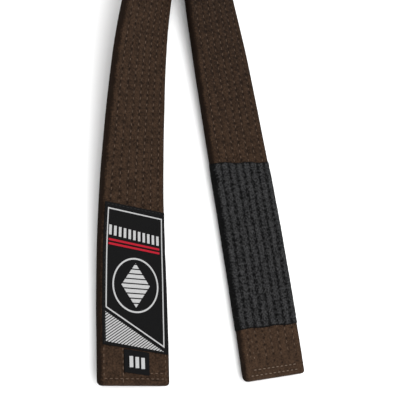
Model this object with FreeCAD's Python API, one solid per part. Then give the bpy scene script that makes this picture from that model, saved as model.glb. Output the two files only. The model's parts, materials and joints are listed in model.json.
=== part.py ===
import FreeCAD, Part
import math
import os

V = FreeCAD.Vector
os.makedirs("parts", exist_ok=True)

# ---------------------------------------------------------------- driving dimensions, mm
belt_width = 40.0
cover_thickness = 4.6          # cloth, padding and canvas together
cloth_wall = 0.6               # the cover cloth itself
tip_fold = 1.2                 # folded cloth that closes a tip
ply_gap = 0.04                 # air on each side of a ply
padding_inset = 0.4            # a padding ply stops this far short of the rounded edge
canvas_reach = 0.9             # the canvas goes this far into it
thread_gap = 0.04              # air under the flat strips that stand for the stitches
thread_height = 0.2            # a stitch stands this far off the cloth
thread_width = 0.6
row_count = 7
row_spacing = belt_width / 8.0
layer_clearance = 0.92         # air between neighbouring layers of the roll
layer_pitch = cover_thickness + 2 * (thread_gap + thread_height) + layer_clearance
half_turns = 9                 # half turns of the outer layer of the roll
flex_slot = 2.0                # slot across the solids at each flex line
roll_lead = 25.0               # straight strap between the roll and a flex line

exit_x = 43.2                  # middle of the two straps where they leave the roll
exit_y = 198.4

label_start, label_length = 16.7, 69.3
label_width = 0.93 * belt_width
label_thickness = 0.6
label_skew = 2.2               # the label's lower edge is sewn out of square
label_border = 1.2             # from the label's edge to its seam
tab_length, tab_width, tab_thickness = 10.8, 14.3, 0.5
tab_offset = 0.1
tab_gap = 1.0                  # between the tab and the label
bar_start, bar_length = 26.5, 89.5
bar_wall = 0.5
bar_ease = 0.05                # the sleeve's inside clears the strap's edge by this
hem_setback = 4.0              # plain cloth at each end of the rank bar
tip_row_inset = 2.6            # first row across the bar tip
tip_row_gap = 2.8
label_row_inset = 3.4          # row across the label tip
tack_inset = 6.8               # short tacking row beside the size tab

half = belt_width / 2.0
ht = cover_thickness / 2.0
face_top = ht + thread_gap + thread_height
sleeve_lift = bar_wall + thread_gap + thread_height

# Each tail is drawn as a line of points: how far from the tip, where, how far the strap is
# turned on its edge (0 is flat on the table, 90 is standing on edge), and how much of the
# sleeve's thickness lies under it.
label_points = [
    (0.0, -26.2, -260.0, 6.2, 0.0),
    (45.0, -28.3, -215.1, 6.2, 0.0),
    (90.0, -30.4, -170.1, 12.1, 0.0),
    (140.0, -30.2, -120.2, 19.1, 0.0),
    (190.0, -27.4, -70.3, 28.3, 0.0),
    (240.0, -18.8, -21.1, 41.9, 0.0),
    (290.0, -3.8, 26.3, 56.2, 0.0),
    (340.0, 16.8, 71.8, 70.3, 0.0),
    (390.0, 33.9, 118.9, 82.0, 0.0),
    (430.0, exit_x - layer_pitch / 2, 158.4, 90.0, 0.0),
]
bar_points = [
    (0.0, 56.6, -252.4, 0.9, 1.0),
    (45.0, 49.0, -208.0, 1.4, 1.0),
    (90.0, 40.9, -163.7, 1.9, 1.0),
    (140.0, 30.8, -114.7, 4.5, 0.7),
    (190.0, 20.4, -65.8, 9.6, 0.15),
    (240.0, 10.4, -16.9, 22.5, 0.0),
    (290.0, 16.0, 32.8, 42.3, 0.0),
    (340.0, 31.9, 80.1, 63.1, 0.0),
    (385.0, 42.2, 123.7, 80.6, 0.0),
    (422.0, exit_x + layer_pitch / 2, 160.4, 90.0, 0.0),
]

station_step = 13.0


class SmoothLine:
    """A cubic spline through (knot, value) pairs, free at the start, slope given at the end."""

    def __init__(self, knots, values, end_slope):
        self.t = knots
        self.v = values
        n = len(knots)
        low = [0.0] * n
        mid = [1.0] * n
        upp = [0.0] * n
        rhs = [0.0] * n
        for i in range(1, n - 1):
            a = knots[i] - knots[i - 1]
            b = knots[i + 1] - knots[i]
            low[i] = a
            mid[i] = 2 * (a + b)
            upp[i] = b
            rhs[i] = 6 * ((values[i + 1] - values[i]) / b - (values[i] - values[i - 1]) / a)
        last = knots[-1] - knots[-2]
        low[-1] = last
        mid[-1] = 2 * last
        rhs[-1] = 6 * (end_slope - (values[-1] - values[-2]) / last)
        for i in range(1, n):
            k = low[i] / mid[i - 1]
            mid[i] -= k * upp[i - 1]
            rhs[i] -= k * rhs[i - 1]
        m = [0.0] * n
        m[-1] = rhs[-1] / mid[-1]
        for i in range(n - 2, -1, -1):
            m[i] = (rhs[i] - upp[i] * m[i + 1]) / mid[i]
        self.m = m
        self.end_slope = end_slope

    def at(self, s):
        """Value and slope at s; past the last knot the line runs straight on."""
        if s >= self.t[-1]:
            return self.v[-1] + self.end_slope * (s - self.t[-1]), self.end_slope
        i = 0
        while s > self.t[i + 1]:
            i += 1
        h = self.t[i + 1] - self.t[i]
        a = self.t[i + 1] - s
        b = s - self.t[i]
        value = self.m[i] * a ** 3 / (6 * h) + self.m[i + 1] * b ** 3 / (6 * h)
        value += (self.v[i] / h - self.m[i] * h / 6) * a
        value += (self.v[i + 1] / h - self.m[i + 1] * h / 6) * b
        slope = -self.m[i] * a * a / (2 * h) + self.m[i + 1] * b * b / (2 * h)
        slope += (self.v[i + 1] - self.v[i]) / h - (self.m[i + 1] - self.m[i]) * h / 6
        return value, slope


class Tail:
    """One end of the belt, from its tip to the flex line by the roll."""

    def __init__(self, points, flex_y):
        knots = [p[0] for p in points]
        self.x = SmoothLine(knots, [p[1] for p in points], 0.0)
        self.y = SmoothLine(knots, [p[2] for p in points], 1.0)
        self.turn = SmoothLine(knots, [math.radians(p[3]) for p in points], 0.0)
        self.lift = SmoothLine(knots, [p[4] * sleeve_lift for p in points], 0.0)
        self.end = knots[-1] + flex_y - points[-1][2]

    def point(self, s, across, out):
        """A point of the strap: s from the tip, across from the middle, out from mid-thickness."""
        x, dx = self.x.at(s)
        y, dy = self.y.at(s)
        d = self.turn.at(s)[0]
        run = math.hypot(dx, dy)
        ux, uy = dy / run, -dx / run
        cz = (half - face_top) * abs(math.sin(d)) + face_top + self.lift.at(s)[0]
        px = x + ux * (across * math.cos(d) + out * math.sin(d))
        py = y + uy * (across * math.cos(d) + out * math.sin(d))
        pz = cz - across * math.sin(d) + out * math.cos(d)
        return V(px, py, pz)


def stations(start, end):
    """Cross-section places from start to end. All the layers share the ones in between, so
    that they bend alike and keep clear of each other."""
    first = int(math.floor(start / station_step + 0.25)) + 1
    last = int(math.ceil(end / station_step - 0.25)) - 1
    return [start] + [station_step * i for i in range(first, last + 1)] + [end]


def stadium(half_width, half_thick):
    """Closed outline of a strap with rounded edges, as ten corners on the round."""
    flat = half_width - half_thick
    outline = []
    for side in (1, -1):
        for deg in (90, 45, 0, -45, -90):
            a = math.radians(deg)
            outline.append((side * (flat + half_thick * math.cos(a)),
                            side * half_thick * math.sin(a)))
    return outline


def box_outline(across0, across1, out0, out1):
    """Closed outline of a plain rectangle in the strap's cross-section."""
    return [(across0, out0), (across1, out0), (across1, out1), (across0, out1)]


def ribbon(tail, start, end, outline, skew_start=0.0):
    """A solid with the given cross-section outline, following the tail from start to end."""
    wires = []
    for s in stations(start, end):
        lean = skew_start * max(0.0, 1.0 - (s - start) / (2 * station_step))
        along = tail.point(s + 1.0, 0.0, 0.0) - tail.point(s, 0.0, 0.0)
        corners = [tail.point(s, a, o) + along * (lean * a / half) for a, o in outline]
        wires.append(Part.makePolygon(corners + [corners[0]]))
    return Part.makeLoft(wires, True, len(wires) == 2)


def roll_path():
    """The strap's middle line in the roll, as straight and round runs, from the bar tail's
    flex line inwards and out again to the label tail's flex line."""
    p = layer_pitch
    outer = p * (half_turns + 1)
    bar_x = exit_x + p / 2
    label_x = exit_x - p / 2
    centre_a = bar_x - outer
    centre_b = centre_a - p
    flex_y = exit_y - roll_lead + flex_slot / 2
    runs = [("line", V(bar_x, flex_y, 0), V(bar_x, exit_y, 0))]
    radius = outer
    for k in range(half_turns):
        centre = centre_a if k % 2 == 0 else centre_b
        first = 0 if k % 2 == 0 else 180
        runs.append(("arc", V(centre, exit_y, 0), radius, first, 180))
        radius -= p
    small = 0.75 * p
    if half_turns % 2 == 1:
        inner = centre_a - 2 * p
        runs.append(("arc", V(inner + small, exit_y, 0), small, 180, 180))
        runs.append(("arc", V(inner + 3 * small, exit_y, 0), small, 180, -180))
    else:
        inner = centre_b + 2 * p
        runs.append(("arc", V(inner - small, exit_y, 0), small, 0, 180))
        runs.append(("arc", V(inner - 3 * small, exit_y, 0), small, 0, -180))
    radius = 2 * p
    for k in range(half_turns - 2, -1, -1):
        centre = centre_a if k % 2 == 0 else centre_b
        first = 180 if k % 2 == 0 else 0
        runs.append(("arc", V(centre, exit_y, 0), radius, first, -180))
        radius += p
    runs.append(("line", V(label_x, exit_y, 0), V(label_x, flex_y, 0)))
    return runs


def offset_edges(runs, off):
    """Edges of the roll's line moved sideways: off is to the right of the way of travel."""
    edges = []
    for run in runs:
        if run[0] == "line":
            a, b = run[1], run[2]
            along = (b - a).normalize()
            side = V(along.y, -along.x, 0) * off
            edges.append(Part.makeLine(a + side, b + side))
        else:
            centre, radius, first, sweep = run[1:]
            r = radius + off if sweep > 0 else radius - off
            pts = []
            for f in (0.0, 0.5, 1.0):
                a = math.radians(first + sweep * f)
                pts.append(centre + V(r * math.cos(a), r * math.sin(a), 0))
            edges.append(Part.Arc(pts[0], pts[1], pts[2]).toShape())
    return edges


def roll_band(off0, off1, z0, z1):
    """A layer of the roll between two sideways offsets and two heights."""
    near = offset_edges(RUNS, off0)
    far = offset_edges(RUNS, off1)
    start = Part.makeLine(near[0].Vertexes[0].Point, far[0].Vertexes[0].Point)
    end_a = near[-1].Vertexes[-1].Point
    end_b = far[-1].Vertexes[-1].Point
    wire = Part.Wire(Part.__sortEdges__(near + [Part.makeLine(end_a, end_b)] + far + [start]))
    face = Part.Face(wire)
    face.translate(V(0, 0, z0))
    return face.extrude(V(0, 0, z1 - z0))


def save(name, shape):
    """Write one named node."""
    solids = shape.Solids
    good = all(s.isValid() for s in solids)
    print("%-28s solids %2d volume %10.1f valid %s" % (name, len(solids), shape.Volume, good))
    if len(solids) == 1:
        solids[0].exportStep("parts/%s.step" % name)
    else:
        Part.makeCompound(solids).exportStep("parts/%s.step" % name)


RUNS = roll_path()
flex_y = exit_y - roll_lead - flex_slot / 2
label_tail = Tail(label_points, flex_y)
bar_tail = Tail(bar_points, flex_y)
rows = [(i - (row_count - 1) / 2.0) * row_spacing for i in range(row_count)]
inner = ht - cloth_wall
ply = 2 * inner / 3.0
plies = {
    "padding_a": (inner - ply + ply_gap, inner - ply_gap, half - ht - padding_inset),
    "canvas_core": (-inner + ply + ply_gap, inner - ply - ply_gap, half - ht + canvas_reach),
    "padding_b": (-inner + ply_gap, -inner + ply - ply_gap, half - ht - padding_inset),
}


def strip(tail, start, end, across, low):
    """One row of stitches along the strap, standing on the height low."""
    edge = thread_width / 2
    outline = box_outline(across - edge, across + edge, low, low + thread_height)
    return ribbon(tail, start, end, outline)


def cross_row(tail, at, across0, across1, low=ht + thread_gap):
    """One row of stitches across the strap, standing on the height low."""
    return ribbon(tail, at, at + thread_width, box_outline(across0, across1, low, low + thread_height))


def build_strap_end(body, tail, up, row_start):
    """Cover, plies and stitch rows of one end. The two ends of one strap meet at the middle
    of the roll turned over, so up is 1 where side a faces up and -1 where side b does. The
    long rows begin row_start from the tip."""
    outer_skin = ribbon(tail, 0.0, tail.end, stadium(half, ht))
    hollow = ribbon(tail, tip_fold, tail.end, stadium(half - cloth_wall, inner))
    save("cover_" + body, outer_skin.cut(hollow))
    for name, (out0, out1, reach) in plies.items():
        low, high = (out0, out1) if up > 0 else (-out1, -out0)
        outline = box_outline(-reach, reach, low, high)
        save(name + "_" + body, ribbon(tail, 1.5 * tip_fold, tail.end, outline))
    for name, side in (("needle_rows", up), ("bobbin_rows", -up)):
        low = ht + thread_gap if side > 0 else -face_top
        save(name + "_" + body, Part.makeCompound([strip(tail, row_start, tail.end, row, low)
                                                   for row in rows]))


def build_roll():
    """Cover, plies and stitch rows of the rolled length, standing on its edge."""
    skin = roll_band(-ht, ht, 0.0, belt_width)
    save("cover_roll", skin.cut(roll_band(-inner, inner, cloth_wall, belt_width - cloth_wall)))
    for name, (out0, out1, reach) in plies.items():
        save(name + "_roll", roll_band(out0, out1, half - reach, half + reach))
    edge = thread_width / 2
    for name, low in (("needle_rows", ht + thread_gap), ("bobbin_rows", -face_top)):
        strips = [roll_band(low, low + thread_height, half - row - edge, half - row + edge)
                  for row in rows]
        save(name + "_roll", Part.makeCompound(strips))


def build_tip_seams():
    """The stitching that closes the two tips."""
    reach = half - 5.0
    second = tip_row_inset + tip_row_gap
    save("tip_seam_bar_end", Part.makeCompound([
        cross_row(bar_tail, tip_row_inset, -reach, reach),
        cross_row(bar_tail, second, 1.0 - reach, reach - 1.0),
    ]))
    edge = half - 2.6
    column_end = label_start - label_skew
    save("tip_seam_label_end", Part.makeCompound([
        cross_row(label_tail, label_row_inset, 1.0 - edge, edge - 1.0),
        cross_row(label_tail, tack_inset, 0.47 * half, 0.8 * half),
        strip(label_tail, label_row_inset + 2 * thread_width, column_end, -edge, ht + thread_gap),
        strip(label_tail, label_row_inset + 2 * thread_width, column_end, edge, ht + thread_gap),
    ]))


def build_label():
    """The woven label, the seam round it and the size tab below it."""
    reach = label_width / 2.0
    label_end = label_start + label_length
    under = face_top + thread_gap
    label_top = under + label_thickness
    save("woven_label", ribbon(label_tail, label_start, label_end,
                               box_outline(-reach, reach, under, label_top), -label_skew))
    seam = label_top + thread_gap
    border = reach - label_border
    column_start = label_start + label_skew + label_border
    top_row = label_end - label_border - thread_width
    save("label_seam", Part.makeCompound([
        strip(label_tail, column_start, top_row, -border, seam),
        strip(label_tail, column_start, top_row, border, seam),
        cross_row(label_tail, top_row, label_border - border, border - label_border, seam),
    ]))
    tab_end = label_start - tab_gap
    outline = box_outline(tab_offset - tab_width / 2.0, tab_offset + tab_width / 2.0,
                          under, under + tab_thickness)
    save("size_tab", ribbon(label_tail, tab_end - tab_length, tab_end, outline))


def build_rank_bar():
    """The sleeve round the bar end, its quilting and its hem seams."""
    bar_end = bar_start + bar_length
    top = face_top + bar_wall
    sleeve = ribbon(bar_tail, bar_start, bar_end, stadium(half + bar_wall, top))
    under = ribbon(bar_tail, bar_start - 1.0, bar_end + 1.0, stadium(half + bar_ease, face_top + bar_ease))
    save("rank_bar_sleeve", sleeve.cut(under))
    quilt_start = bar_start + hem_setback + 2.5 * thread_width
    quilt_end = bar_end - hem_setback - 2.5 * thread_width
    hem_rows = (bar_start + hem_setback - thread_width, bar_end - hem_setback)
    reach = half - 3.0
    quilt = []
    hems = []
    for low in (top + thread_gap, -top - thread_gap - thread_height):
        quilt += [strip(bar_tail, quilt_start, quilt_end, row, low) for row in rows]
        hems += [cross_row(bar_tail, at, -reach, reach, low) for at in hem_rows]
    save("rank_bar_quilting", Part.makeCompound(quilt))
    save("rank_bar_hem_seams", Part.makeCompound(hems))


def belt_length():
    """Length of the strap's middle line, from tip to tip."""
    total = label_tail.end + bar_tail.end + 2 * flex_slot
    for run in RUNS:
        total += (run[2] - run[1]).Length if run[0] == "line" else math.radians(abs(run[4])) * run[2]
    return total


build_strap_end("label_end", label_tail, -1, label_start + label_skew + label_border)
build_strap_end("bar_end", bar_tail, 1, tip_row_inset + tip_row_gap + 2.5 * thread_width)
build_roll()
build_tip_seams()
build_label()
build_rank_bar()
print("belt length %.1f" % belt_length())
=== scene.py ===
import json
import logging
import math
from dataclasses import dataclass, field
from enum import Enum
from typing import Callable, Sequence

import bmesh
import bpy
import numpy as np
from mathutils import Matrix, Vector, noise


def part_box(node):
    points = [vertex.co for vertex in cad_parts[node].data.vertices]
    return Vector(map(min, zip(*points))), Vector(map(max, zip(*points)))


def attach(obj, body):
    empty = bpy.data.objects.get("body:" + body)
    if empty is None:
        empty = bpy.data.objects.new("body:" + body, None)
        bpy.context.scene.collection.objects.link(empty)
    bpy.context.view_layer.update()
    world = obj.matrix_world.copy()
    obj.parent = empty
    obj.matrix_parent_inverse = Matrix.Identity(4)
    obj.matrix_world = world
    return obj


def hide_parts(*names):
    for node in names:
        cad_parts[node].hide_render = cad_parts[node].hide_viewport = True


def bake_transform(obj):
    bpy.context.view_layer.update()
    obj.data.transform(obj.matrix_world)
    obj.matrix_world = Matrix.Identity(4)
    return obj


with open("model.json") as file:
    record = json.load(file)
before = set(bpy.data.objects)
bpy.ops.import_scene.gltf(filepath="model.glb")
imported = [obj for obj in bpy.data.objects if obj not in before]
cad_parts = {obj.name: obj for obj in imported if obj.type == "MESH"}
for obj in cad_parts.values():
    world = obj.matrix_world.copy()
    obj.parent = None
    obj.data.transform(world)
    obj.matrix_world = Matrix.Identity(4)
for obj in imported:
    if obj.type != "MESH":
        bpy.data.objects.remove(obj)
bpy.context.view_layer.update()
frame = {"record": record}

log = logging.getLogger("belt")
mm = 0.001


class Face(Enum):
    """The two faces of the strap: the one that looks up at a tip, and the one under it."""

    UPPER = 1
    UNDER = -1


# ------------------------------------------------------------------ the strap's course
class SmoothLine:
    """A cubic spline, free at its start, with a given slope at its end and straight beyond."""

    def __init__(self, knots: Sequence[float], values: Sequence[float], end_slope: float) -> None:
        """Solve the spline.

        Args:
            knots: Places along the strap.
            values: The value at each place.
            end_slope: Slope at the last knot and after it.
        """
        self.t = np.array(knots, float)
        self.v = np.array(values, float)
        self.end_slope = end_slope
        gap = np.diff(self.t)
        slope = np.diff(self.v) / gap
        count = len(self.t)
        system = np.zeros((count, count))
        right = np.zeros(count)
        system[0, 0] = 1.0
        for i in range(1, count - 1):
            system[i, i - 1:i + 2] = gap[i - 1], 2 * (gap[i - 1] + gap[i]), gap[i]
            right[i] = 6 * (slope[i] - slope[i - 1])
        system[-1, -2:] = gap[-1], 2 * gap[-1]
        right[-1] = 6 * (end_slope - slope[-1])
        self.m = np.linalg.solve(system, right)

    def at(self, s: np.ndarray) -> tuple[np.ndarray, np.ndarray]:
        """Read the spline.

        Args:
            s: Places along the strap.

        Returns:
            The value and the slope at each place.
        """
        i = np.clip(np.searchsorted(self.t, s) - 1, 0, len(self.t) - 2)
        h = self.t[i + 1] - self.t[i]
        inside = np.minimum(s, self.t[-1])
        a, b = self.t[i + 1] - inside, inside - self.t[i]
        m0, m1, v0, v1 = self.m[i], self.m[i + 1], self.v[i], self.v[i + 1]
        value = (m0 * a**3 + m1 * b**3) / (6 * h) + (v0 / h - m0 * h / 6) * a + (v1 / h - m1 * h / 6) * b
        slope = (m1 * b**2 - m0 * a**2) / (2 * h) + (v1 - v0) / h - (m1 - m0) * h / 6
        beyond = s > self.t[-1]
        value = np.where(beyond, self.v[-1] + self.end_slope * (s - self.t[-1]), value)
        return value, np.where(beyond, self.end_slope, slope)


@dataclass(frozen=True)
class StrapSizes:
    """Sizes that both halves of the strap share, metres."""

    half_width: float
    exit_y: float
    pitch: float
    half_turns: int = 9
    face_height: float = 2.54 * mm
    sleeve_lift: float = 0.74 * mm

    @staticmethod
    def from_frame() -> "StrapSizes":
        """Read the strap's width, the roll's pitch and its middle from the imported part.

        Returns:
            The sizes.
        """
        low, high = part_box("cover_roll")
        joints = {j["name"]: j["pos_m"][0] for j in frame["record"]["behaviour"]["joints"]}
        exit_y = frame["record"]["mounts"][0]["pos_m"][1]
        pitch = joints["bar_end_swing"] - joints["label_end_swing"]
        return StrapSizes((high[2] - low[2]) / 2, exit_y, pitch)


@dataclass
class StrapHalf:
    """One half of the strap, from its tip to the belt's middle inside the roll.

    Each point is a distance from the tip, a place, how far the strap is turned on its edge,
    and how much of the rank bar's sleeve lies under it, in millimetres and degrees.
    """

    body: str
    sizes: StrapSizes
    points: Sequence[tuple[float, float, float, float, float]]
    inner_turns: int
    bend_start: tuple[float, float, float]
    bend_length: float
    arcs: list[tuple[float, float, float, float]] = field(init=False)

    def __post_init__(self) -> None:
        """Lay out the splines of the free end and the arcs of the roll."""
        knots = [p[0] * mm for p in self.points]
        self.x = SmoothLine(knots, [p[1] * mm for p in self.points], 0.0)
        self.y = SmoothLine(knots, [p[2] * mm for p in self.points], 1.0)
        self.turn = SmoothLine(knots, [math.radians(p[3]) for p in self.points], 0.0)
        self.lift = SmoothLine(knots, [p[4] * self.sizes.sleeve_lift for p in self.points], 0.0)
        self.exit_s = knots[-1] + self.sizes.exit_y - self.points[-1][2] * mm
        pitch = self.sizes.pitch
        lead_x = self.points[-1][1] * mm
        radius = pitch * (self.inner_turns + 1)
        centre_a = lead_x - radius
        self.arcs = []
        s = self.exit_s
        for k in range(self.inner_turns):
            centre = centre_a if k % 2 == 0 else centre_a - pitch
            self.arcs.append((s, centre, radius, math.pi * (k % 2)))
            s += math.pi * radius
            radius -= pitch
        last = self.arcs[-1]
        side = -1 if self.inner_turns % 2 else 1
        small = 0.75 * pitch
        self.arcs.append((s, last[1] + side * (last[2] - small), small, math.pi * (self.inner_turns % 2)))
        self.length = s + math.pi * small

    def frames(self, s: np.ndarray) -> tuple[np.ndarray, np.ndarray, np.ndarray]:
        """Find where the strap is and how it lies.

        Args:
            s: Distances from the tip.

        Returns:
            Its middle, the way across it and the way out of its face, one row per place.
        """
        x, dx = self.x.at(s)
        y, dy = self.y.at(s)
        turn = self.turn.at(s)[0]
        run = np.hypot(dx, dy)
        side_x, side_y = dy / run, -dx / run
        size = self.sizes
        rise = (size.half_width - size.face_height) * np.abs(np.sin(turn))
        z = rise + size.face_height + self.lift.at(s)[0]
        middle = np.stack([x, y, z], 1)
        across = np.stack([side_x * np.cos(turn), side_y * np.cos(turn), -np.sin(turn)], 1)
        out = np.stack([side_x * np.sin(turn), side_y * np.sin(turn), np.cos(turn)], 1)
        for start, centre, radius, first in self.arcs:
            on = s >= start
            angle = first + (s[on] - start) / radius
            ring = np.stack([np.cos(angle), np.sin(angle), np.zeros_like(angle)], 1)
            middle[on] = ring * radius + [centre, size.exit_y, size.half_width]
            across[on] = [0.0, 0.0, -1.0]
            out[on] = ring
        return middle, across, out

    def place(self, flat: np.ndarray) -> np.ndarray:
        """Lay flat work on the strap.

        Args:
            flat: Points as (across, distance from the tip, out), one row each.

        Returns:
            The points in the row frame.
        """
        a, s, o = flat[:, 0], flat[:, 1], flat[:, 2]
        wander = 0.05 * mm * np.sin(s / (17.3 * mm)) + 0.03 * mm * np.sin(s / (5.1 * mm) + 1.0 + a * 190)
        middle, across, out = self.frames(s)
        return middle + across * (a + wander)[:, None] + out * o[:, None]

    def wrap(self, bm: bmesh.types.BMesh) -> None:
        """Move every vertex of flat work to its place on the strap.

        Args:
            bm: The work; it is changed.
        """
        flat = np.array([v.co for v in bm.verts], float).reshape(-1, 3)
        for vert, spot in zip(bm.verts, self.place(flat)):
            vert.co = spot


# ------------------------------------------------------------------ finishes
class Nodes:
    """A material's node tree, with short ways to add to it."""

    def __init__(self, name: str) -> None:
        """Start an empty material with a Principled shader.

        Args:
            name: The material's name.
        """
        self.material = bpy.data.materials.new(name)
        self.material.use_nodes = True
        self.tree = self.material.node_tree
        self.tree.nodes.clear()
        self.shader = self.tree.nodes.new("ShaderNodeBsdfPrincipled")
        output = self.tree.nodes.new("ShaderNodeOutputMaterial")
        self.tree.links.new(self.shader.outputs[0], output.inputs[0])

    def put(self, socket: bpy.types.NodeSocket, value: object) -> None:
        """Link a socket, or set its value.

        Args:
            socket: The input.
            value: Another node's output, or a number or colour.
        """
        if isinstance(value, bpy.types.NodeSocket):
            self.tree.links.new(value, socket)
        else:
            socket.default_value = value

    def math(self, operation: str, a: object, b: object = 0.0) -> bpy.types.NodeSocket:
        """Add a Math node.

        Args:
            operation: Its operation.
            a: First value or output.
            b: Second value or output.

        Returns:
            Its output.
        """
        node = self.tree.nodes.new("ShaderNodeMath")
        node.operation = operation
        self.put(node.inputs[0], a)
        self.put(node.inputs[1], b)
        return node.outputs[0]

    def mix(self, share: object, a: object, b: object) -> bpy.types.NodeSocket:
        """Mix two colours.

        Args:
            share: How much of the second.
            a: First colour.
            b: Second colour.

        Returns:
            The mixed colour.
        """
        node = self.tree.nodes.new("ShaderNodeMix")
        node.data_type = "RGBA"
        self.put(node.inputs["Factor"], share)
        self.put(node.inputs[6], a)
        self.put(node.inputs[7], b)
        return node.outputs[2]

    def noise(
        self, vector: bpy.types.NodeSocket, scale: float, detail: float = 2.0
    ) -> bpy.types.NodeSocket:
        """Add a Noise texture.

        Args:
            vector: Coordinates.
            scale: Its scale.
            detail: Its detail.

        Returns:
            Its value, about 0.5 on average.
        """
        node = self.tree.nodes.new("ShaderNodeTexNoise")
        node.inputs["Scale"].default_value = scale
        node.inputs["Detail"].default_value = detail
        self.put(node.inputs["Vector"], vector)
        return node.outputs[0]

    def strap_mm(self) -> tuple[bpy.types.NodeSocket, bpy.types.NodeSocket, bpy.types.NodeSocket]:
        """Read the strap coordinates.

        Returns:
            The vector, the place across and the place along, in millimetres.
        """
        source = self.tree.nodes.new("ShaderNodeUVMap")
        source.uv_map = "strap"
        split = self.tree.nodes.new("ShaderNodeSeparateXYZ")
        self.put(split.inputs[0], source.outputs[0])
        return source.outputs[0], split.outputs[0], split.outputs[1]

    def gauss(self, distance: object, width: float) -> bpy.types.NodeSocket:
        """A soft bump of height 1 round a distance of 0.

        Args:
            distance: The distance.
            width: Where the bump has fallen to about a third.

        Returns:
            The bump's height.
        """
        ratio = self.math("DIVIDE", distance, width)
        return self.math("EXPONENT", self.math("MULTIPLY", self.math("MULTIPLY", ratio, ratio), -1.0))

    def total(self, *terms: tuple[object, float]) -> bpy.types.NodeSocket:
        """Add up values, each times a weight.

        Args:
            terms: The values with their weights.

        Returns:
            The sum.
        """
        value: object = 0.0
        for term, weight in terms:
            value = self.math("ADD", value, self.math("MULTIPLY", term, weight))
        return value

    def finish(self, colour: object, height: object, roughness: object, sheen: float) -> bpy.types.Material:
        """Wire the shader.

        Args:
            colour: Base colour.
            height: Relief, in millimetres.
            roughness: Roughness.
            sheen: Strength of the fibre sheen.

        Returns:
            The material.
        """
        bump = self.tree.nodes.new("ShaderNodeBump")
        bump.inputs["Distance"].default_value = mm
        self.put(bump.inputs["Height"], height)
        self.put(self.shader.inputs["Base Color"], colour)
        self.put(self.shader.inputs["Roughness"], roughness)
        self.put(self.shader.inputs["Normal"], bump.outputs[0])
        self.shader.inputs["Sheen Weight"].default_value = sheen
        self.shader.inputs["Sheen Roughness"].default_value = 0.5
        self.shader.inputs["Specular IOR Level"].default_value = 0.06
        return self.material


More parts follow.
